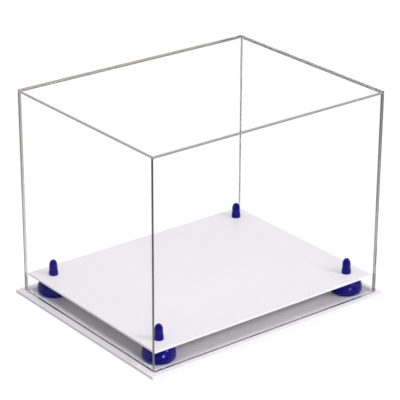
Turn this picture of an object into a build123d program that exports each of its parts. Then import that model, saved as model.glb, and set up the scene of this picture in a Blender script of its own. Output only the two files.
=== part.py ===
from build123d import *
import os

# Acrylic display case: a clear five-panel cover stands over a white base plate, and a
# white display platform is carried inside it on four round risers.
# Frame: +Z up, +X along the long side, front at -Y, origin at the middle of the base
# plate's underside. All sizes are in millimetres.

# Clear cover, bonded from flat sheet
cover_length = 387.35
cover_depth = 304.8
cover_height = 300.0
cover_wall = 3.2
cover_edge_break = 0.4

# Base plate
base_thickness = 4.8
base_margin = 9.0
base_edge_break = 0.5

# Display platform
platform_thickness = 3.2
platform_gap = 0.8
platform_edge_break = 0.4

# Riser foot
riser_inset = 29.5
foot_height = 24.3
foot_bottom_radius = 19.5
foot_widest_radius = 23.3
foot_widest_height = 6.5
foot_seat_radius = 8.0
foot_boss_radius = 8.5
foot_rim_width = 3.0
foot_roof = 9.0
foot_recess_draft = 2.0

# Hex bolt of each riser
bolt_radius = 2.45
bolt_reach = 12.5
thread_pitch = 0.8
thread_depth = 0.45
thread_length = 24.0
head_width = 8.0
head_height = 3.5
head_setback = 1.5
head_corner_cut = 0.5
bolt_bore_gap = 0.2
head_pocket_gap = 0.1
platform_hole_gap = 0.3

# Riser cap and the threaded insert inside it
cap_collar_radius = 6.7
cap_collar_height = 6.0
cap_shoulder_height = 1.4
cap_body_radius = 5.9
cap_height = 22.5
cap_dome_height = 9.0
cap_bottom_round = 0.5
cap_shoulder_round = 1.0
cap_tip_space = 2.5
cap_cavity_gap = 0.45
insert_radius = 3.5
insert_length = 10.0
insert_setback = 0.5
insert_edge_break = 0.4
insert_groove_depth = 0.4
insert_groove_width = 1.6
insert_running_gap = 0.05
thread_running_gap = 0.075

# Share of each handle length that makes a Bezier curve run close to a quarter ellipse
curve_fullness = 0.55

# Heights and places that follow from the sizes above
cover_top = base_thickness + cover_height
side_wall_height = cover_height - cover_wall
platform_bottom = base_thickness + foot_height
platform_top = platform_bottom + platform_thickness
platform_length = cover_length - 2 * (cover_wall + platform_gap)
platform_depth = cover_depth - 2 * (cover_wall + platform_gap)
riser_x = cover_length / 2 - riser_inset
riser_y = cover_depth / 2 - riser_inset
head_pocket_depth = head_setback + head_height
bolt_tip = foot_height + platform_thickness + bolt_reach

corners = {
    "front_left": (-1, -1),
    "front_right": (1, -1),
    "back_left": (-1, 1),
    "back_right": (1, 1),
}


def riser_frame(side_x, side_y, height):
    """Flat plane, upright profile plane and axis of the riser at one corner."""
    centre = (side_x * riser_x, side_y * riser_y, height)
    flat = Plane(origin=centre, x_dir=(1, 0, 0), z_dir=(0, 0, 1))
    upright = Plane(origin=centre, x_dir=(1, 0, 0), z_dir=(0, -1, 0))
    return flat, upright, Axis(centre, (0, 0, 1))


def quarter_curve(start, end, start_upright):
    """Curve between two profile points, upright at one end and level at the other."""
    across = end[0] - start[0]
    up = end[1] - start[1]
    if start_upright:
        first = (start[0], start[1] + curve_fullness * up)
        second = (end[0] - curve_fullness * across, end[1])
    else:
        first = (start[0] + curve_fullness * across, start[1])
        second = (end[0], end[1] - curve_fullness * up)
    return Bezier(start, first, second, end)


def make_base_plate():
    """Flat plate that stands out past the cover on every side."""
    with BuildPart() as plate:
        with BuildSketch(Plane.XY):
            Rectangle(cover_length + 2 * base_margin, cover_depth + 2 * base_margin)
        extrude(amount=base_thickness)
        level_edges = plate.edges().group_by(Axis.Z)
        chamfer(level_edges[-1] + level_edges[0], base_edge_break)
    return plate


def make_cover_top():
    """Top sheet of the cover, laid on the four walls."""
    with BuildPart() as sheet:
        with BuildSketch(Plane.XY.offset(cover_top - cover_wall)):
            Rectangle(cover_length, cover_depth)
        extrude(amount=cover_wall)
        chamfer(sheet.edges().group_by(Axis.Z)[-1], cover_edge_break)
    return sheet


def make_long_wall(side_y):
    """Front or back sheet, as long as the cover, with its outer upright edges broken."""
    with BuildPart() as sheet:
        with BuildSketch(Plane.XY.offset(base_thickness)):
            with Locations((0, side_y * (cover_depth - cover_wall) / 2)):
                Rectangle(cover_length, cover_wall)
        extrude(amount=side_wall_height)
        upright_edges = sheet.edges().filter_by(Axis.Z).group_by(Axis.Y)
        chamfer(upright_edges[0 if side_y < 0 else -1], cover_edge_break)
    return sheet


def make_end_wall(side_x):
    """Left or right sheet, held between the front and back sheets."""
    with BuildPart() as sheet:
        with BuildSketch(Plane.XY.offset(base_thickness)):
            with Locations((side_x * (cover_length - cover_wall) / 2, 0)):
                Rectangle(cover_wall, cover_depth - 2 * cover_wall)
        extrude(amount=side_wall_height)
    return sheet


def make_display_platform():
    """Sheet that carries what is shown, with one bolt hole at each riser."""
    with BuildPart() as sheet:
        with BuildSketch(Plane.XY.offset(platform_bottom)):
            Rectangle(platform_length, platform_depth)
            with GridLocations(2 * riser_x, 2 * riser_y, 2, 2):
                Circle(bolt_radius + platform_hole_gap, mode=Mode.SUBTRACT)
        extrude(amount=platform_thickness)
        rims = [sheet.faces().sort_by(Axis.Z)[side].outer_wire().edges() for side in (0, -1)]
        chamfer(rims[0] + rims[1], platform_edge_break)
    return sheet


def make_riser_foot(side_x, side_y):
    """Bun-shaped foot, cored from below, with a hex pocket that holds the bolt's head."""
    flat, upright, spindle = riser_frame(side_x, side_y, base_thickness)
    widest = (foot_widest_radius, foot_widest_height)
    recess_bottom = foot_bottom_radius - foot_rim_width
    recess_height = foot_height - foot_roof
    with BuildPart() as foot:
        with BuildSketch(upright):
            with BuildLine():
                quarter_curve((foot_bottom_radius, 0), widest, start_upright=False)
                quarter_curve(widest, (foot_seat_radius, foot_height), start_upright=True)
                Polyline((foot_seat_radius, foot_height), (0, foot_height), (0, 0), (foot_bottom_radius, 0))
            make_face()
        revolve(axis=spindle)
        with BuildSketch(upright):
            with BuildLine():
                Polyline(
                    (foot_boss_radius, 0),
                    (recess_bottom, 0),
                    (recess_bottom - foot_recess_draft, recess_height),
                    (foot_boss_radius, recess_height),
                    close=True,
                )
            make_face()
        revolve(axis=spindle, mode=Mode.SUBTRACT)
        with BuildSketch(flat):
            Circle(bolt_radius + bolt_bore_gap)
        extrude(amount=foot_height, mode=Mode.SUBTRACT)
        with BuildSketch(flat):
            RegularPolygon(head_width / 2 + head_pocket_gap, 6, major_radius=False)
        extrude(amount=head_pocket_depth, mode=Mode.SUBTRACT)
    return foot


def make_riser_bolt(side_x, side_y):
    """Hex bolt with its head in the foot and its threaded end above the platform."""
    flat, upright, spindle = riser_frame(side_x, side_y, base_thickness)
    thread_turns = int(thread_length / thread_pitch)
    thread_start = bolt_tip - thread_turns * thread_pitch
    root_radius = bolt_radius - thread_depth
    thread = []
    for turn in range(thread_turns):
        crest = thread_start + turn * thread_pitch
        thread += [(bolt_radius, crest), (root_radius, crest + thread_pitch / 2)]
    head_reach = head_width / 2 + head_corner_cut
    with BuildPart() as bolt:
        with BuildSketch(flat.offset(head_setback)):
            RegularPolygon(head_width / 2, 6, major_radius=False)
        extrude(amount=head_height)
        with BuildSketch(upright):
            with BuildLine():
                Polyline(
                    (head_width / 2, head_setback),
                    (head_reach + head_corner_cut, head_setback),
                    (head_reach + head_corner_cut, head_setback + 2 * head_corner_cut),
                    close=True,
                )
            make_face()
        revolve(axis=spindle, mode=Mode.SUBTRACT)
        with BuildSketch(upright):
            with BuildLine():
                Polyline(
                    (0, head_pocket_depth),
                    (bolt_radius, head_pocket_depth),
                    *thread,
                    (root_radius, bolt_tip),
                    (0, bolt_tip),
                    close=True,
                )
            make_face()
        revolve(axis=spindle)
    return bolt


def make_riser_cap(side_x, side_y):
    """Bullet-shaped cap with a collar, hollow for the insert and the bolt's end."""
    flat, upright, spindle = riser_frame(side_x, side_y, platform_top)
    dome_start = cap_height - cap_dome_height
    with BuildPart() as cap:
        with BuildSketch(upright):
            with BuildLine():
                FilletPolyline(
                    (0, 0),
                    (cap_collar_radius, 0),
                    (cap_collar_radius, cap_collar_height),
                    (cap_body_radius, cap_collar_height + cap_shoulder_height),
                    (cap_body_radius, dome_start),
                    radius=[cap_bottom_round, cap_shoulder_round, cap_shoulder_round],
                )
                quarter_curve((cap_body_radius, dome_start), (0, cap_height), start_upright=True)
                Line((0, cap_height), (0, 0))
            make_face()
        revolve(axis=spindle)
        with BuildSketch(flat):
            Circle(insert_radius + insert_running_gap)
        extrude(amount=insert_setback + insert_length, mode=Mode.SUBTRACT)
        with BuildSketch(flat):
            Circle(bolt_radius + cap_cavity_gap)
        extrude(amount=bolt_reach + cap_tip_space, mode=Mode.SUBTRACT)
    return cap


def make_cap_insert(side_x, side_y):
    """Turned threaded insert that runs on the bolt, with one ring groove outside."""
    flat, upright, spindle = riser_frame(side_x, side_y, platform_top + insert_setback)
    bore = bolt_radius + thread_running_gap
    groove_low = (insert_length - insert_groove_width) / 2
    groove_high = groove_low + insert_groove_width
    groove_radius = insert_radius - insert_groove_depth
    with BuildPart() as insert:
        with BuildSketch(upright):
            with BuildLine():
                Polyline(
                    (bore, 0),
                    (insert_radius - insert_edge_break, 0),
                    (insert_radius, insert_edge_break),
                    (insert_radius, groove_low),
                    (groove_radius, groove_low),
                    (groove_radius, groove_high),
                    (insert_radius, groove_high),
                    (insert_radius, insert_length - insert_edge_break),
                    (insert_radius - insert_edge_break, insert_length),
                    (bore, insert_length),
                    close=True,
                )
            make_face()
        revolve(axis=spindle)
    return insert


pieces = {
    "base_plate": make_base_plate(),
    "cover_top_panel": make_cover_top(),
    "cover_front_panel": make_long_wall(-1),
    "cover_back_panel": make_long_wall(1),
    "cover_left_panel": make_end_wall(-1),
    "cover_right_panel": make_end_wall(1),
    "display_platform": make_display_platform(),
}
for corner, (side_x, side_y) in corners.items():
    pieces[f"riser_foot_{corner}"] = make_riser_foot(side_x, side_y)
    pieces[f"riser_bolt_{corner}"] = make_riser_bolt(side_x, side_y)
    pieces[f"riser_cap_{corner}"] = make_riser_cap(side_x, side_y)
    pieces[f"cap_insert_{corner}"] = make_cap_insert(side_x, side_y)

os.makedirs("parts", exist_ok=True)
for name, piece in pieces.items():
    piece.part.label = name
    export_step(piece.part, f"parts/{name}.step")
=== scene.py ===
import math

import bpy
import numpy as np
from mathutils import Matrix, Vector


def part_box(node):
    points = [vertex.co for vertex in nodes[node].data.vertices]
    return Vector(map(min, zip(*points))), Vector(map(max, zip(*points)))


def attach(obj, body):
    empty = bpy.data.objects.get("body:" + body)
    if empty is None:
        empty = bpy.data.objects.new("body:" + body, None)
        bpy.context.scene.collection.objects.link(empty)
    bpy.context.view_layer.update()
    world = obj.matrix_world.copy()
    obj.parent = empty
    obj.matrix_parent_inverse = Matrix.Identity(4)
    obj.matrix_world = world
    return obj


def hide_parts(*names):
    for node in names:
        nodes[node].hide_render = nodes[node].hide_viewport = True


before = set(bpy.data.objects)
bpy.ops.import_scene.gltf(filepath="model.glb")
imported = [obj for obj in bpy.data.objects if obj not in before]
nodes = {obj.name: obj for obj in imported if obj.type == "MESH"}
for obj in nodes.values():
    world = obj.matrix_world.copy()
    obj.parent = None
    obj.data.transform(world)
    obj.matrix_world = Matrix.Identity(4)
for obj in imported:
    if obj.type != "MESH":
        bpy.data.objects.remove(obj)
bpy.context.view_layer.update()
scene = bpy.context.scene
corners = ("front_left", "front_right", "back_left", "back_right")
mm = 0.001
print("frame loaded with", len(nodes), "nodes")


# Camera, at the photograph's viewing angle: turned and raised about the base plate's middle, then
# moved along its own up direction so that the whole case sits in the frame.
photoCamera = {
    "azimuth": -38.06,
    "elevation": 23.27,
    "roll": 0.25,
    "distance": 2.5703,
    "rise": 0.1326,
    "lens": 164.2,
    "sensor": 36.0,
}


def placeCamera():
    turn = math.radians(photoCamera["azimuth"])
    lift = math.radians(photoCamera["elevation"])
    roll = math.radians(photoCamera["roll"])
    back = Vector((math.sin(turn) * math.cos(lift), -math.cos(turn) * math.cos(lift), math.sin(lift)))
    levelRight = Vector((math.cos(turn), math.sin(turn), 0.0))
    levelUp = back.cross(levelRight)
    right = levelRight * math.cos(roll) + levelUp * math.sin(roll)
    up = levelUp * math.cos(roll) - levelRight * math.sin(roll)
    camera = bpy.data.objects.new("photoCamera", bpy.data.cameras.new("photoCamera"))
    camera.data.lens = photoCamera["lens"]
    camera.data.sensor_width = photoCamera["sensor"]
    camera.data.clip_start, camera.data.clip_end = 0.1, 60.0
    turned = Matrix((right, up, back)).transposed().to_4x4()
    place = back * photoCamera["distance"] + up * photoCamera["rise"]
    camera.matrix_world = Matrix.Translation(place) @ turned
    scene.collection.objects.link(camera)
    scene.camera = camera


placeCamera()
print("camera placed")


# Meshes from numpy arrays

def meshObject(name, points, faces, smooth=True):
    # The faces are turned round as a whole if the volume that they enclose comes out negative.
    corner = points[np.array([face[:3] for face in faces])]
    if np.einsum("ij,ij->", corner[:, 0], np.cross(corner[:, 1], corner[:, 2])) < 0:
        faces = [face[::-1] for face in faces]
    mesh = bpy.data.meshes.new(name)
    mesh.from_pydata(points.tolist(), [], faces)
    mesh.polygons.foreach_set("use_smooth", np.full(len(mesh.polygons), smooth))
    mesh.update()
    piece = bpy.data.objects.new(name, mesh)
    scene.collection.objects.link(piece)
    return piece


def ringFaces(rings, steps, firstPoint=0, wrapRings=False):
    # Quads between neighbouring rings of the same number of points, each ring closed on itself.
    index = firstPoint + np.arange(rings * steps).reshape(rings, steps)
    upper = np.roll(index, -1, axis=0) if wrapRings else index[1:]
    lower = index if wrapRings else index[:-1]
    quads = np.stack([lower, np.roll(lower, -1, 1), np.roll(upper, -1, 1), upper], axis=-1)
    return quads.reshape(-1, 4).tolist()


def turnedPiece(name, radius, height, centre, poles=True):
    # radius[i, j] and height[i, j] are the reach from the axis and the level of point j on ring i.
    # Point j stands at the angle 2 pi j / steps. With poles, the first and last rings are fans
    # about one point on the axis; without, the last ring joins the first.
    rings, steps = radius.shape
    angle = np.linspace(0, 2 * math.pi, steps, endpoint=False)
    grid = np.stack([radius * np.cos(angle), radius * np.sin(angle), height], axis=-1)
    points = grid.reshape(-1, 3)
    faces = ringFaces(rings, steps, wrapRings=not poles)
    if poles:
        ends = np.array([[0, 0, height[0].mean()], [0, 0, height[-1].mean()]])
        points = np.concatenate([points, ends])
        first = np.arange(steps)
        last = first + (rings - 1) * steps
        foot = np.stack([np.roll(first, -1), first, np.full(steps, rings * steps)], axis=-1)
        tip = np.stack([last, np.roll(last, -1), np.full(steps, rings * steps + 1)], axis=-1)
        faces += foot.tolist() + tip.tolist()
    return meshObject(name, points + np.array(centre), faces)


def arc(centre, reach, start, end, steps):
    # Quarter or other part of an ellipse: centre + reach x (cos, sin), from start to end in degrees.
    turn = np.radians(np.linspace(start, end, steps))
    return np.stack([centre[0] + reach[0] * np.cos(turn), centre[1] + reach[1] * np.sin(turn)], axis=-1)


def roundedCorners(corner, rounds, steps=4):
    # Open line through the corners, each inner one replaced by a short curve of the given reach: the
    # curve is the quadratic (1-t)^2 a + 2 t (1-t) b + t^2 c from one side of the corner b to the other.
    corner = np.array(corner, float)
    share = np.linspace(0, 1, steps)[:, None]
    out = [corner[:1]]
    for before, here, after, reach in zip(corner[:-2], corner[1:-1], corner[2:], rounds):
        if reach == 0:
            out.append(here[None])
            continue
        a = here + (before - here) * reach / np.linalg.norm(before - here)
        c = here + (after - here) * reach / np.linalg.norm(after - here)
        out.append((1 - share) ** 2 * a + 2 * share * (1 - share) * here + share ** 2 * c)
    out.append(corner[-1:])
    return np.concatenate(out)


def hexReach(steps):
    # Reach of a regular hexagon, over its half width across the flats, at each step round it.
    angle = np.linspace(0, 2 * math.pi, steps, endpoint=False)
    return 1 / np.cos(np.mod(angle, math.pi / 3) - math.pi / 6)


def evenNormals(piece):
    modifier = piece.modifiers.new("evenNormals", "WEIGHTED_NORMAL")
    modifier.weight = 60
    modifier.keep_sharp = True
    return piece


# Shader helpers

def newMaterial(name):
    material = bpy.data.materials.new(name)
    material.use_nodes = True
    tree = material.node_tree
    shader = tree.nodes["Principled BSDF"]
    return material, tree, shader


def addNode(tree, kind, **settings):
    node = tree.nodes.new(kind)
    for key, value in settings.items():
        setattr(node, key, value)
    return node


def link(tree, source, target):
    tree.links.new(source, target)


def newGroup(name, inputs, outputs):
    group = bpy.data.node_groups.new(name, "ShaderNodeTree")
    for label, kind, value in inputs:
        socket = group.interface.new_socket(label, in_out="INPUT", socket_type=kind)
        socket.default_value = value
    for label, kind in outputs:
        group.interface.new_socket(label, in_out="OUTPUT", socket_type=kind)
    return group, group.nodes.new("NodeGroupInput"), group.nodes.new("NodeGroupOutput")


def useGroup(tree, group, **values):
    node = addNode(tree, "ShaderNodeGroup", node_tree=group)
    for label, value in values.items():
        node.inputs[label].default_value = value
    return node


def buildToneDrift():
    # Slow, faint drift of tone over a sheet or a moulding.
    group, inlet, outlet = newGroup(
        "toneDrift",
        [("Scale", "NodeSocketFloat", 12.0), ("Amount", "NodeSocketFloat", 0.03),
         ("Colour", "NodeSocketColor", (0.8, 0.8, 0.8, 1))],
        [("Colour", "NodeSocketColor")])
    place = addNode(group, "ShaderNodeTexCoord")
    noise = addNode(group, "ShaderNodeTexNoise")
    noise.inputs["Detail"].default_value = 3.0
    centred = addNode(group, "ShaderNodeMath", operation="SUBTRACT")
    centred.inputs[1].default_value = 0.5
    swing = addNode(group, "ShaderNodeMath", operation="MULTIPLY_ADD")
    swing.inputs[2].default_value = 1.0
    tone = addNode(group, "ShaderNodeVectorMath", operation="SCALE")
    link(group, place.outputs["Object"], noise.inputs["Vector"])
    link(group, inlet.outputs["Scale"], noise.inputs["Scale"])
    link(group, noise.outputs["Fac"], centred.inputs[0])
    link(group, centred.outputs[0], swing.inputs[0])
    link(group, inlet.outputs["Amount"], swing.inputs[1])
    link(group, inlet.outputs["Colour"], tone.inputs[0])
    link(group, swing.outputs[0], tone.inputs["Scale"])
    link(group, tone.outputs[0], outlet.inputs["Colour"])
    return group


def buildHandlingMarks():
    # Faint hairline scuffs from wiping: two stretched noises crossed, only their peaks kept.
    group, inlet, outlet = newGroup(
        "handlingMarks",
        [("Scale", "NodeSocketFloat", 40.0), ("Base", "NodeSocketFloat", 0.05),
         ("Amount", "NodeSocketFloat", 0.1)],
        [("Roughness", "NodeSocketFloat")])
    place = addNode(group, "ShaderNodeTexCoord")
    peaks = []
    for turn in (0.6, 2.1):
        stretch = addNode(group, "ShaderNodeMapping")
        stretch.inputs["Rotation"].default_value = (0.3, turn * 0.5, turn)
        stretch.inputs["Scale"].default_value = (1.0, 22.0, 9.0)
        noise = addNode(group, "ShaderNodeTexNoise")
        noise.inputs["Detail"].default_value = 2.0
        keep = addNode(group, "ShaderNodeMapRange")
        keep.inputs["From Min"].default_value = 0.66
        keep.inputs["From Max"].default_value = 0.78
        link(group, place.outputs["Object"], stretch.inputs["Vector"])
        link(group, stretch.outputs["Vector"], noise.inputs["Vector"])
        link(group, inlet.outputs["Scale"], noise.inputs["Scale"])
        link(group, noise.outputs["Fac"], keep.inputs["Value"])
        peaks.append(keep)
    both = addNode(group, "ShaderNodeMath", operation="MAXIMUM")
    rough = addNode(group, "ShaderNodeMath", operation="MULTIPLY_ADD")
    link(group, peaks[0].outputs["Result"], both.inputs[0])
    link(group, peaks[1].outputs["Result"], both.inputs[1])
    link(group, both.outputs[0], rough.inputs[0])
    link(group, inlet.outputs["Amount"], rough.inputs[1])
    link(group, inlet.outputs["Base"], rough.inputs[2])
    link(group, rough.outputs[0], outlet.inputs["Roughness"])
    return group


toneDrift = buildToneDrift()
handlingMarks = buildHandlingMarks()


def softBump(tree, shader, scale, reach, strength):
    # Slow unevenness of a moulded or cast surface, felt only in its reflections.
    place = addNode(tree, "ShaderNodeTexCoord")
    noise = addNode(tree, "ShaderNodeTexNoise")
    noise.inputs["Scale"].default_value = scale
    noise.inputs["Detail"].default_value = 1.0
    bump = addNode(tree, "ShaderNodeBump")
    bump.inputs["Distance"].default_value = reach
    bump.inputs["Strength"].default_value = strength
    link(tree, place.outputs["Object"], noise.inputs["Vector"])
    link(tree, noise.outputs["Fac"], bump.inputs["Height"])
    link(tree, bump.outputs["Normal"], shader.inputs["Normal"])


def glossOf(tree, shader, finish):
    # Colour with a slow drift of tone, and roughness with a few wiping marks.
    f = finish
    tone = useGroup(tree, toneDrift, Scale=f["driftScale"], Amount=f["drift"], Colour=f["colour"])
    marks = useGroup(tree, handlingMarks, Scale=f["marksScale"], Base=f["roughness"], Amount=f["marks"])
    link(tree, tone.outputs["Colour"], shader.inputs["Base Color"])
    link(tree, marks.outputs["Roughness"], shader.inputs["Roughness"])


blueFinish = {
    "colour": (0.001, 0.0005, 0.14, 1), "shine": (0.28, 0.28, 0.9, 1), "index": 1.52,
    "drift": 0.25, "driftScale": 60.0, "roughness": 0.03, "marks": 0.1, "marksScale": 120.0,
    "waveScale": 160.0, "waveReach": 0.0002, "waveStrength": 0.25,
}


def blueMoulding():
    material, tree, shader = newMaterial("blueMoulding")
    f = blueFinish
    glossOf(tree, shader, f)
    softBump(tree, shader, f["waveScale"], f["waveReach"], f["waveStrength"])
    shader.inputs["Specular Tint"].default_value = f["shine"]
    shader.inputs["IOR"].default_value = f["index"]
    return material


whiteFinish = {
    "colour": (0.87, 0.86, 0.87, 1), "index": 1.49, "drift": 0.02, "driftScale": 6.0,
    "roughness": 0.08, "marks": 0.08, "marksScale": 30.0,
    "waveScale": 14.0, "waveReach": 0.0004, "waveStrength": 0.3,
}


def whiteSheet():
    material, tree, shader = newMaterial("whiteSheet")
    f = whiteFinish
    glossOf(tree, shader, f)
    softBump(tree, shader, f["waveScale"], f["waveReach"], f["waveStrength"])
    shader.inputs["IOR"].default_value = f["index"]
    return material


# straightShare is the part of the view that crosses a surface unbent.
clearFinish = {
    "colour": (0.998, 0.999, 1.0, 1), "index": 1.49, "mirrorTint": 0.1, "lampTone": (1, 1, 1, 1),
    "drift": 0.003, "driftScale": 8.0, "marksScale": 20.0,
    "depthColour": (0.4, 0.32, 0.25, 1), "depthDensity": 1.2,
    "wideFace": {"roughness": 0.0, "marks": 0.01, "straightShare": 0.98},
    "cutEdge": {"roughness": 0.05, "marks": 0.1, "straightShare": 0.25},
    # warm, grey and cool are the colours of the painted dispersion along the cut edges, and tintScale is
    # the length of its stretches.
    "tintScale": 9.0, "warm": (0.3, (0.97, 0.93, 0.88, 1)), "grey": (0.5, (0.96, 0.97, 0.97, 1)),
    "cool": (0.7, (0.9, 0.94, 1.0, 1)),
}


def clearAcrylic(name, surface, edge):
    c, s = clearFinish, clearFinish[surface]
    material, tree, shader = newMaterial(name)
    tone = useGroup(tree, toneDrift, Scale=c["driftScale"], Amount=c["drift"], Colour=c["colour"])
    wear = useGroup(tree, handlingMarks, Scale=c["marksScale"], Base=s["roughness"], Amount=s["marks"])
    if edge:
        # Painted dispersion: warm, grey and cool stretches along the cut edges, painted into their
        # colour to stand in for the light that the edges split.
        place = addNode(tree, "ShaderNodeTexCoord")
        drift = addNode(tree, "ShaderNodeTexNoise")
        drift.inputs["Scale"].default_value = c["tintScale"]
        # Ramp of the painted dispersion colours.
        paintedSplitTints = addNode(tree, "ShaderNodeValToRGB")
        stops = paintedSplitTints.color_ramp.elements
        stops[0].position, stops[0].color = c["warm"]
        stops[1].position, stops[1].color = c["cool"]
        stops.new(c["grey"][0]).color = c["grey"][1]
        link(tree, place.outputs["Object"], drift.inputs["Vector"])
        link(tree, drift.outputs["Fac"], paintedSplitTints.inputs["Fac"])
        link(tree, paintedSplitTints.outputs["Color"], tone.inputs["Colour"])
    link(tree, tone.outputs["Colour"], shader.inputs["Base Color"])
    link(tree, wear.outputs["Roughness"], shader.inputs["Roughness"])
    shader.inputs["Transmission Weight"].default_value = 1.0
    shader.inputs["IOR"].default_value = c["index"]
    shader.inputs["Specular Tint"].default_value = (*[c["mirrorTint"]] * 3, 1)
    # A long way through the sheet, as at its edges, is greyer than the straight way across it.
    depth = addNode(tree, "ShaderNodeVolumeAbsorption")
    depth.inputs["Color"].default_value = c["depthColour"]
    depth.inputs["Density"].default_value = c["depthDensity"]
    # Light for the inside passes the sheets straight, and so do what the inside mirrors and most of
    # the view across their wide faces, so that the white floor isn't mirrored over the inside.
    clearWay = addNode(tree, "ShaderNodeBsdfTransparent")
    clearWay.inputs["Color"].default_value = c["lampTone"]
    path = addNode(tree, "ShaderNodeLightPath")
    share = addNode(tree, "ShaderNodeMath", operation="MULTIPLY")
    share.inputs[1].default_value = s["straightShare"]
    mirrored = addNode(tree, "ShaderNodeMath", operation="SUBTRACT", use_clamp=True)
    light = addNode(tree, "ShaderNodeMath", operation="MAXIMUM")
    either = addNode(tree, "ShaderNodeMath", operation="MAXIMUM")
    whole = addNode(tree, "ShaderNodeMath", operation="MAXIMUM")
    blend = addNode(tree, "ShaderNodeMixShader")
    outlet = tree.nodes["Material Output"]
    link(tree, path.outputs["Is Shadow Ray"], light.inputs[0])
    link(tree, path.outputs["Is Diffuse Ray"], light.inputs[1])
    link(tree, path.outputs["Is Glossy Ray"], mirrored.inputs[0])
    link(tree, path.outputs["Is Transmission Ray"], mirrored.inputs[1])
    link(tree, light.outputs[0], either.inputs[0])
    link(tree, mirrored.outputs[0], either.inputs[1])
    link(tree, path.outputs["Is Camera Ray"], share.inputs[0])
    link(tree, either.outputs[0], whole.inputs[0])
    link(tree, share.outputs[0], whole.inputs[1])
    link(tree, whole.outputs[0], blend.inputs["Fac"])
    link(tree, shader.outputs["BSDF"], blend.inputs[1])
    link(tree, clearWay.outputs["BSDF"], blend.inputs[2])
    link(tree, blend.outputs["Shader"], outlet.inputs["Surface"])
    link(tree, depth.outputs["Volume"], outlet.inputs["Volume"])
    return material


zincFinish = {
    "colour": (0.62, 0.64, 0.66, 1), "drift": 0.2, "driftScale": 400.0,
    "roughness": 0.3, "marks": 0.2, "marksScale": 300.0,
}
brassFinish = {
    "colour": (0.78, 0.6, 0.3, 1), "drift": 0.2, "driftScale": 400.0,
    "roughness": 0.25, "marks": 0.2, "marksScale": 300.0,
}


def metal(name, finish):
    material, tree, shader = newMaterial(name)
    glossOf(tree, shader, finish)
    shader.inputs["Metallic"].default_value = 1.0
    return material


blue = blueMoulding()
white = whiteSheet()
clear = clearAcrylic("clearSheet", "wideFace", edge=False)
cutEdge = clearAcrylic("cutEdge", "cutEdge", edge=True)
zinc = metal("zincPlate", zincFinish)
brass = metal("turnedBrass", brassFinish)


def dress(piece, material):
    piece.data.materials.clear()
    piece.data.materials.append(material)


def dressNode(name, material):
    for slot in nodes[name].material_slots:
        slot.material = material


for name in ("base_plate", "display_platform"):
    dressNode(name, white)
print("white sheets dressed")


# Clear cover: five flat sheets, each with its own rounded and polished edge
clearCover = {
    "sheets": {"coverTop": ("cover_top_panel", 2), "coverFront": ("cover_front_panel", 1),
               "coverBack": ("cover_back_panel", 1), "coverLeft": ("cover_left_panel", 0),
               "coverRight": ("cover_right_panel", 0)},
    "edgeRound": 0.4, "cornerRound": 0.5, "edgeSteps": 4, "cornerSteps": 4, "bondLine": 0.02,
    "restGap": 0.05,
}


def sheetPiece(name, low, high, across):
    # Flat sheet, thin along the axis numbered across. Its outline, a rectangle with small round
    # corners, is carried over the rounded edge: at the angle v of the edge, the outline's point is
    # drawn in by edgeRound (1 - cos v), and stands edgeRound sin v past the level where v is 0.
    c = clearCover
    low, high = np.array(low), np.array(high)
    order = [(across + 1) % 3, (across + 2) % 3, across]
    centre, half = (low + high)[order] / 2, (high - low)[order] / 2
    edgeRound, cornerRound = c["edgeRound"] * mm, c["cornerRound"] * mm
    quarter = np.linspace(0, math.pi / 2, c["cornerSteps"] + 1)
    turn = np.concatenate([quarter + k * math.pi / 2 for k in range(4)])
    side = np.repeat([(1, 1), (-1, 1), (-1, -1), (1, -1)], len(quarter), axis=0)
    outward = np.stack([np.cos(turn), np.sin(turn)], axis=-1)
    lean = np.linspace(0, math.pi / 2, c["edgeSteps"] + 1)
    v = np.concatenate([lean - math.pi / 2, lean])[:, None]
    level = np.repeat([-1, 1], len(lean))[:, None] * (half[2] - edgeRound) + edgeRound * np.sin(v)
    drawnIn = edgeRound * (1 - np.cos(v))
    reach = (cornerRound - drawnIn)[:, :, None] * outward[None]
    flat = (side * (half[:2] - cornerRound))[None] + reach
    grid = np.concatenate([flat, np.broadcast_to(level[:, :, None], (*flat.shape[:2], 1))], axis=-1)
    normal = np.concatenate([np.cos(v)[:, :, None] * outward[None],
                             np.broadcast_to(np.sin(v)[:, :, None], (*flat.shape[:2], 1))], axis=-1)
    back = np.argsort(order)
    points = (grid + centre).reshape(-1, 3)[:, back]
    rings, steps = flat.shape[:2]
    first = np.arange(steps)
    faces = ringFaces(rings, steps) + [first[::-1].tolist(), (first + (rings - 1) * steps).tolist()]
    piece = meshObject(name, points, faces)
    piece.data.normals_split_custom_set_from_vertices(normal.reshape(-1, 3)[:, back].tolist())
    finish = np.ones(len(faces), np.int32)
    finish[-2:] = 0
    piece.data.materials.append(clear)
    piece.data.materials.append(cutEdge)
    piece.data.polygons.foreach_set("material_index", finish)
    return piece


for name, (node, across) in clearCover["sheets"].items():
    low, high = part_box(node)
    low = [value + clearCover["bondLine"] * mm / 2 for value in low]
    high = [value - clearCover["bondLine"] * mm / 2 for value in high]
    if across != 2:
        low[2] += clearCover["restGap"] * mm
    sheet = sheetPiece(name, low, high, across)
    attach(sheet, "cover")
    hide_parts(node)
print("cover made")


# Risers
riserFoot = {
    "bottomRadius": 19.5, "widestRadius": 23.3, "widestHeight": 6.5, "height": 24.3, "seatRadius": 8.0,
    "boreRadius": 2.65, "pocketHalfWidth": 4.1, "pocketDepth": 5.0, "bossRadius": 8.5,
    "recessRadius": 16.5, "recessDraft": 2.0, "recessHeight": 15.3, "recessRound": 1.0, "edgeRound": 0.4,
    "pocketRim": 0.9, "hair": 0.01, "steps": 96,
}


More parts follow.
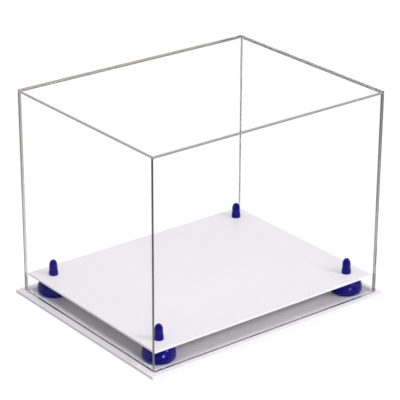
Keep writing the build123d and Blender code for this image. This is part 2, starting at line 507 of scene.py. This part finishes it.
def makeFoot(corner):
    f = riserFoot
    low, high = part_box(f"riser_foot_{corner}")
    centre = [(low[0] + high[0]) / 2, (low[1] + high[1]) / 2, low[2]]
    # Outside: two quarter ellipses, widest between them; inside: a cored recess round a boss. The
    # bore ends in a step of a hair's breadth, so that its last corner stays sharp.
    skirt = arc((f["bottomRadius"], f["widestHeight"]),
                (f["widestRadius"] - f["bottomRadius"], f["widestHeight"]), -90, 0, 14)
    dome = arc((f["seatRadius"], f["widestHeight"]),
               (f["widestRadius"] - f["seatRadius"], f["height"] - f["widestHeight"]), 0, 90, 28)
    inside = roundedCorners([
        (f["seatRadius"], f["height"]),
        (f["boreRadius"], f["height"]),
        (f["boreRadius"], f["pocketDepth"]),
        (f["boreRadius"] + f["hair"], f["pocketDepth"]),
    ], [f["edgeRound"], 0], 4)
    below = roundedCorners([
        (f["pocketHalfWidth"] + f["pocketRim"], 0),
        (f["bossRadius"], 0),
        (f["bossRadius"], f["recessHeight"]),
        (f["recessRadius"] - f["recessDraft"], f["recessHeight"]),
        (f["recessRadius"], 0),
        (f["bottomRadius"], 0),
    ], [f["edgeRound"], f["recessRound"], f["recessRound"], f["edgeRound"]], 4)[:-1]
    pocket = np.array([(f["pocketHalfWidth"], f["pocketDepth"]), (f["pocketHalfWidth"], 0)])
    profile = np.concatenate([skirt, dome[1:], inside[1:], pocket, below])
    steps = f["steps"]
    radius = np.repeat(profile[:, :1], steps, axis=1)
    # The pocket's two rings of points are pushed out to a hexagon.
    first = len(skirt) + len(dome) - 1 + len(inside) - 1
    radius[first:first + 2] = f["pocketHalfWidth"] * hexReach(steps)
    height = np.repeat(profile[:, 1:], steps, axis=1)
    piece = turnedPiece(f"riserFoot_{corner}", radius * mm, height * mm, centre, poles=False)
    piece.data.set_sharp_from_angle(angle=math.radians(40))
    dress(evenNormals(piece), blue)
    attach(piece, "riser_platform")
    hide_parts(f"riser_foot_{corner}")


riserCap = {
    "collarRadius": 6.7, "collarHeight": 6.0, "shoulderHeight": 1.4, "bodyRadius": 5.9, "height": 22.5,
    "domeHeight": 9.0, "domeEnd": 89.5, "bottomRound": 0.5, "shoulderRound": 1.0,
    "insertHole": 3.55, "insertDepth": 10.5, "cavityRadius": 2.9, "cavityDepth": 14.0,
    "cavityTip": 15.0, "steps": 72,
}


def makeCap(corner):
    c = riserCap
    low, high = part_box(f"riser_cap_{corner}")
    centre = [(low[0] + high[0]) / 2, (low[1] + high[1]) / 2, low[2]]
    domeStart = c["height"] - c["domeHeight"]
    outside = roundedCorners([
        (c["insertHole"], 0),
        (c["collarRadius"], 0),
        (c["collarRadius"], c["collarHeight"]),
        (c["bodyRadius"], c["collarHeight"] + c["shoulderHeight"]),
        (c["bodyRadius"], domeStart),
    ], [c["bottomRound"], c["shoulderRound"], c["shoulderRound"]], 6)
    dome = arc((0, domeStart), (c["bodyRadius"], c["domeHeight"]), 0, c["domeEnd"], 24)
    hollow = np.array([
        (0.01, c["cavityTip"]),
        (c["cavityRadius"], c["cavityDepth"]),
        (c["cavityRadius"], c["insertDepth"]),
        (c["insertHole"], c["insertDepth"]),
    ])
    profile = np.concatenate([hollow, outside, dome[1:]])
    radius = np.repeat(profile[:, :1], c["steps"], axis=1)
    height = np.repeat(profile[:, 1:], c["steps"], axis=1)
    piece = turnedPiece(f"riserCap_{corner}", radius * mm, height * mm, centre)
    piece.data.set_sharp_from_angle(angle=math.radians(40))
    dress(evenNormals(piece), blue)
    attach(piece, f"cap_{corner}")
    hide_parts(f"riser_cap_{corner}")


riserBolt = {
    "radius": 2.45, "tip": 40.0, "headWidth": 8.0, "headHeight": 3.5, "headSetback": 1.5,
    "headLevels": [0, 0.15, 0.3, 0.45, 0.6, 0.8, 1.1], "coneInset": 0.3, "coneLean": 1.7,
    "threadLength": 24.0, "pitch": 0.8, "threadDepth": 0.42, "grooveFlatness": 0.7, "tipChamfer": 0.8,
    "tipLean": 1.2, "shankStep": 0.05, "steps": 48, "rowsPerTurn": 8,
}


def makeBolt(corner):
    b = riserBolt
    low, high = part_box(f"riser_bolt_{corner}")
    centre = [(low[0] + high[0]) / 2, (low[1] + high[1]) / 2, low[2] - b["headSetback"] * mm]
    steps = b["steps"]
    angle = np.linspace(0, 2 * math.pi, steps, endpoint=False)
    headTop = b["headSetback"] + b["headHeight"]
    # Head: the hexagon's reach, held within a cone that leans out from the underside.
    headLevel = b["headSetback"] + np.array([*b["headLevels"], b["headHeight"]])
    cone = b["headWidth"] / 2 - b["coneInset"] + b["coneLean"] * (headLevel - b["headSetback"])
    head = np.minimum(b["headWidth"] / 2 * hexReach(steps)[None], cone[:, None])
    # Thread: radius falls by the depth times a rounded wave whose crest climbs one pitch a turn.
    start = b["tip"] - b["threadLength"]
    rows = int(b["threadLength"] / b["pitch"] * b["rowsPerTurn"])
    level = np.linspace(start, b["tip"], rows + 1)[:, None]
    wave = 0.5 - 0.5 * np.cos(2 * math.pi * (level / b["pitch"] - angle[None] / (2 * math.pi)))
    fade = np.clip((level - start) / (2 * b["pitch"]), 0, 1)
    thread = b["radius"] - b["threadDepth"] * wave ** b["grooveFlatness"] * fade
    thread = np.minimum(thread, b["radius"] - b["tipChamfer"] + (b["tip"] - level) * b["tipLean"])
    shank = np.full((3, steps), b["radius"])
    shankLevel = np.array([headTop, headTop + b["shankStep"], start - b["shankStep"]])
    radius = np.concatenate([head, head[-1:], shank, thread])
    height = np.concatenate([headLevel, [headTop], shankLevel, level[:, 0]])
    height = np.repeat(height[:, None], steps, axis=1)
    radius[len(head)] = np.minimum(radius[len(head)], b["headWidth"] / 2)
    piece = turnedPiece(f"riserBolt_{corner}", radius * mm, height * mm, centre)
    piece.data.set_sharp_from_angle(angle=math.radians(50))
    dress(piece, zinc)
    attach(piece, "riser_platform")
    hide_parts(f"riser_bolt_{corner}")


capInsert = {
    "radius": 3.48, "length": 10.0, "bore": 2.53, "boreGroove": 0.3, "pitch": 0.8, "edgeBreak": 0.4,
    "grooveDepth": 0.4, "grooveWidth": 1.6, "knurlDepth": 0.14, "knurlTeeth": 24,
    "knurlLean": 0.6, "steps": 96, "rows": 80,
}


def makeInsert(corner):
    n = capInsert
    low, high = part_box(f"cap_insert_{corner}")
    centre = [(low[0] + high[0]) / 2, (low[1] + high[1]) / 2, low[2]]
    steps = n["steps"]
    angle = np.linspace(0, 2 * math.pi, steps, endpoint=False)[None]
    level = np.linspace(0, n["length"], n["rows"])[:, None]
    # Outside: diamonds where two families of slanted ridges cross, less the chamfers and the groove.
    lean = n["knurlTeeth"] * angle
    climb = n["knurlTeeth"] * level / n["radius"] * n["knurlLean"]
    ridge = 0.5 - 0.25 * (np.cos(lean + climb) + np.cos(lean - climb))
    outside = n["radius"] - n["knurlDepth"] * ridge
    nearEnd = np.minimum(level, n["length"] - level)
    outside = outside - np.clip(n["edgeBreak"] - nearEnd, 0, None)
    inGroove = np.abs(level - n["length"] / 2) < n["grooveWidth"] / 2
    outside = np.where(inGroove, n["radius"] - n["grooveDepth"], outside)
    wave = 0.5 - 0.5 * np.cos(2 * math.pi * (level / n["pitch"] - angle / (2 * math.pi)))
    bore = n["bore"] + n["boreGroove"] * wave * np.clip(nearEnd / n["pitch"], 0, 1)
    radius = np.concatenate([outside, bore[::-1]])
    height = np.repeat(np.concatenate([level, level[::-1]]), steps, axis=1)
    piece = turnedPiece(f"capInsert_{corner}", radius * mm, height * mm, centre, poles=False)
    piece.data.set_sharp_from_angle(angle=math.radians(50))
    dress(piece, brass)
    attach(piece, f"insert_{corner}")
    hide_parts(f"cap_insert_{corner}")


for corner in corners:
    makeFoot(corner)
    makeCap(corner)
    makeBolt(corner)
    makeInsert(corner)
print("risers made")


# Floor, room and lamps
stage = {
    "floorSize": 5.0, "floorColour": 0.5, "floorGlow": 0.6, "roomLight": 0.46, "mirroredShare": 0.1,
    "roomTint": (0.94, 0.91, 1.0, 1), "ceilingTone": 0.4, "ceilingFrom": 0.3, "ceilingTo": 0.6,
}
lamps = {
    "overhead": {"place": (-0.7, -0.5, 3.9), "size": 1.6, "power": 76.0},
    "frontRight": {"place": (2.0, -3.4, 2.8), "size": 0.9, "power": 66.0},
    "frontLow": {"place": (-0.5, -2.9, 0.3), "size": 0.6, "power": 30.0},
}


def seenRay(tree):
    # 1 for rays from the camera and through clear sheet, part of it for mirrored rays, and 0 for
    # rays that only carry light.
    path = addNode(tree, "ShaderNodeLightPath")
    mirrored = addNode(tree, "ShaderNodeMath", operation="MULTIPLY")
    mirrored.inputs[1].default_value = stage["mirroredShare"]
    first = addNode(tree, "ShaderNodeMath", operation="MAXIMUM")
    second = addNode(tree, "ShaderNodeMath", operation="MAXIMUM")
    link(tree, path.outputs["Is Glossy Ray"], mirrored.inputs[0])
    link(tree, path.outputs["Is Camera Ray"], first.inputs[0])
    link(tree, mirrored.outputs[0], first.inputs[1])
    link(tree, first.outputs[0], second.inputs[0])
    link(tree, path.outputs["Is Transmission Ray"], second.inputs[1])
    return second.outputs[0]


def makeFloor():
    half = stage["floorSize"] / 2
    points = np.array([(-half, -half, 0), (half, -half, 0), (half, half, 0), (-half, half, 0)], float)
    mesh = bpy.data.meshes.new("floor")
    mesh.from_pydata(points.tolist(), [], [(0, 1, 2, 3)])
    floor = bpy.data.objects.new("floor", mesh)
    scene.collection.objects.link(floor)
    material = bpy.data.materials.new("paleFloor")
    material.use_nodes = True
    tree = material.node_tree
    tree.nodes.clear()
    matte = addNode(tree, "ShaderNodeBsdfDiffuse")
    matte.inputs["Color"].default_value = (*[stage["floorColour"]] * 3, 1)
    glow = addNode(tree, "ShaderNodeEmission")
    level = addNode(tree, "ShaderNodeMath", operation="MULTIPLY")
    level.inputs[1].default_value = stage["floorGlow"]
    both = addNode(tree, "ShaderNodeAddShader")
    outlet = addNode(tree, "ShaderNodeOutputMaterial")
    link(tree, seenRay(tree), level.inputs[0])
    link(tree, level.outputs[0], glow.inputs["Strength"])
    link(tree, matte.outputs[0], both.inputs[0])
    link(tree, glow.outputs[0], both.inputs[1])
    link(tree, both.outputs[0], outlet.inputs["Surface"])
    mesh.materials.append(material)


def makeRoom():
    world = bpy.data.worlds.new("room")
    scene.world = world
    world.use_nodes = True
    tree = world.node_tree
    tree.nodes.clear()
    place = addNode(tree, "ShaderNodeTexCoord")
    split = addNode(tree, "ShaderNodeSeparateXYZ")
    ceiling = addNode(tree, "ShaderNodeMapRange", interpolation_type="SMOOTHSTEP")
    ceiling.inputs["From Min"].default_value = stage["ceilingFrom"]
    ceiling.inputs["From Max"].default_value = stage["ceilingTo"]
    ceiling.inputs["To Min"].default_value = 1.0
    ceiling.inputs["To Max"].default_value = stage["ceilingTone"]
    # Rays that only carry light take roomLight, and rays that are seen take white, dimmer overhead.
    # Of the colour mix, sockets 6 and 7 are its two colours and output 2 is its result.
    pick = addNode(tree, "ShaderNodeMix", data_type="FLOAT")
    pick.inputs["A"].default_value = stage["roomLight"]
    sky = addNode(tree, "ShaderNodeBackground")
    tint = addNode(tree, "ShaderNodeMix", data_type="RGBA")
    tint.inputs[6].default_value = stage["roomTint"]
    tint.inputs[7].default_value = (1, 1, 1, 1)
    outlet = addNode(tree, "ShaderNodeOutputWorld")
    link(tree, place.outputs["Generated"], split.inputs[0])
    link(tree, split.outputs["Z"], ceiling.inputs["Value"])
    seen = seenRay(tree)
    link(tree, seen, pick.inputs["Factor"])
    link(tree, seen, tint.inputs[0])
    link(tree, tint.outputs[2], sky.inputs["Color"])
    link(tree, ceiling.outputs["Result"], pick.inputs["B"])
    link(tree, pick.outputs["Result"], sky.inputs["Strength"])
    link(tree, sky.outputs[0], outlet.inputs["Surface"])


def makeLamps():
    for name, lamp in lamps.items():
        light = bpy.data.lights.new(name, "AREA")
        light.shape = "DISK"
        light.size = lamp["size"]
        light.energy = lamp["power"]
        holder = bpy.data.objects.new(name, light)
        holder.location = lamp["place"]
        aim = Vector((0, 0, 0.05)) - holder.location
        holder.rotation_euler = aim.to_track_quat("-Z", "Y").to_euler()
        scene.collection.objects.link(holder)


makeFloor()
makeRoom()
makeLamps()
scene.view_settings.view_transform = "Standard"
bounces = 128
for limit in ("max_bounces", "glossy_bounces", "transmission_bounces", "transparent_max_bounces"):
    setattr(scene.cycles, limit, bounces)
print("floor, room and lamps ready")
